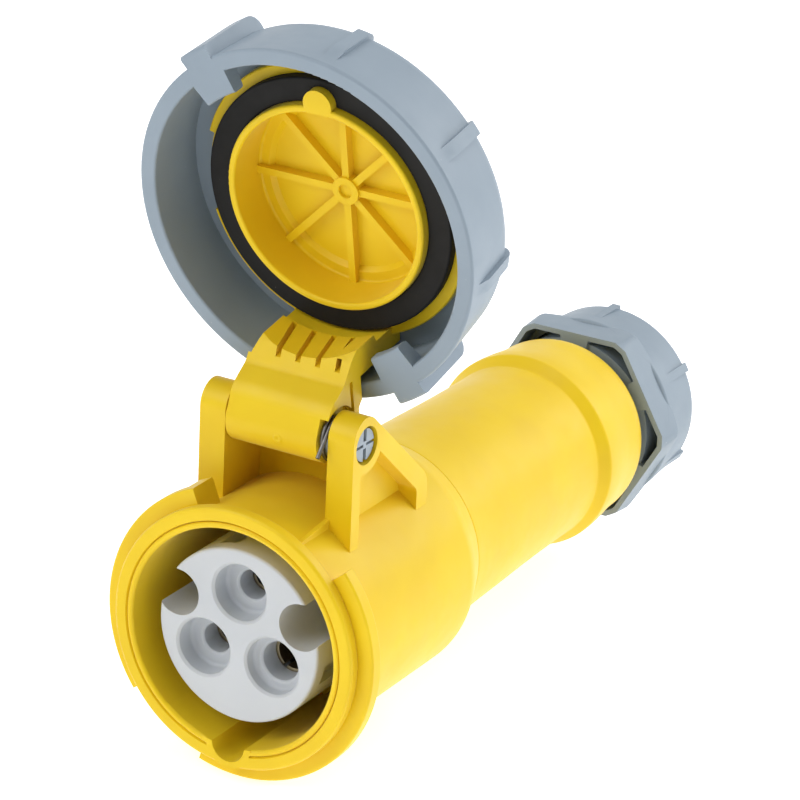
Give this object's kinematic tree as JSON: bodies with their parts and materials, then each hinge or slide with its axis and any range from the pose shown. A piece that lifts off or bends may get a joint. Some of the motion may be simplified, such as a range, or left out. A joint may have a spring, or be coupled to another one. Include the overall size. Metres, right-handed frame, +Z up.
{
  "type": "industrial cable coupler",
  "caption": "Three-pole industrial cable coupler with a hinged lid, a bayonet locking ring and a screwed cable gland.",
  "frame": {"origin": "middle of the mouth, on the plane of its front lip", "axes": "-Y out of the mouth, +Y along the body to the gland, +Z up to the hinge"},
  "size_m": [0.0738, 0.1557, 0.1466],
  "materials": {
    "yellow_plastic": "fine satin moulding",
    "insert_plastic": "smooth satin",
    "blue_grey_plastic": "fine satin moulding",
    "black_rubber": "matt rubber",
    "pin_plastic": "smooth satin",
    "contact_brass": "turned, lightly tarnished",
    "steel": "bright zinc"
  },
  "bodies": {
    "coupler_body": {"front_housing": "yellow_plastic", "rear_housing": "yellow_plastic", "housing_seal": "black_rubber", "contact_insert": "insert_plastic", "contact_carrier": "pin_plastic", "carrier_screw": "steel", "terminal_screws": "steel", "hinge_pin": "pin_plastic", "gland_seal": "black_rubber", "contact_line": "contact_brass", "contact_neutral": "contact_brass", "contact_earth": "contact_brass", "contact_clip_line": "steel", "contact_clip_neutral": "steel", "contact_clip_earth": "steel"},
    "lid_body": {"lid": "yellow_plastic", "lid_gasket": "black_rubber", "hinge_spring": "steel"},
    "ring_body": {"locking_ring": "blue_grey_plastic"},
    "gland_follower": {"gland_washer": "pin_plastic", "clamp_cage": "pin_plastic"},
    "nut_body": {"gland_nut": "blue_grey_plastic"}
  },
  "joints": [
    {"name": "lid_hinge", "type": "hinge", "parent": "coupler_body", "child": "lid_body", "pos_m": [0, 0.01896, 0.03857], "axis": [1, 0, 0], "range_deg": [0, 169.42], "stiffness_Nm_per_rad": 0.004, "springref_deg": -28.65},
    {"name": "ring_turn", "type": "hinge", "parent": "lid_body", "child": "ring_body", "pos_m": [0, 0.03052, 0.07997], "axis": [0, -0.983, -0.1836], "range_deg": [0, 105]},
    {"name": "gland_slide", "type": "slide", "parent": "coupler_body", "child": "gland_follower", "axis": [0, -1, 0], "range_m": [-0.003, 0.001]},
    {"name": "nut_turn", "type": "hinge", "parent": "gland_follower", "child": "nut_body", "pos_m": [0, 0.14, 0], "axis": [0, -1, 0], "range_deg": [-720, 240]}
  ],
  "couplings": [
    {"joint": "gland_slide", "follows": "nut_turn", "m_per_rad": 0.00023873}
  ]
}
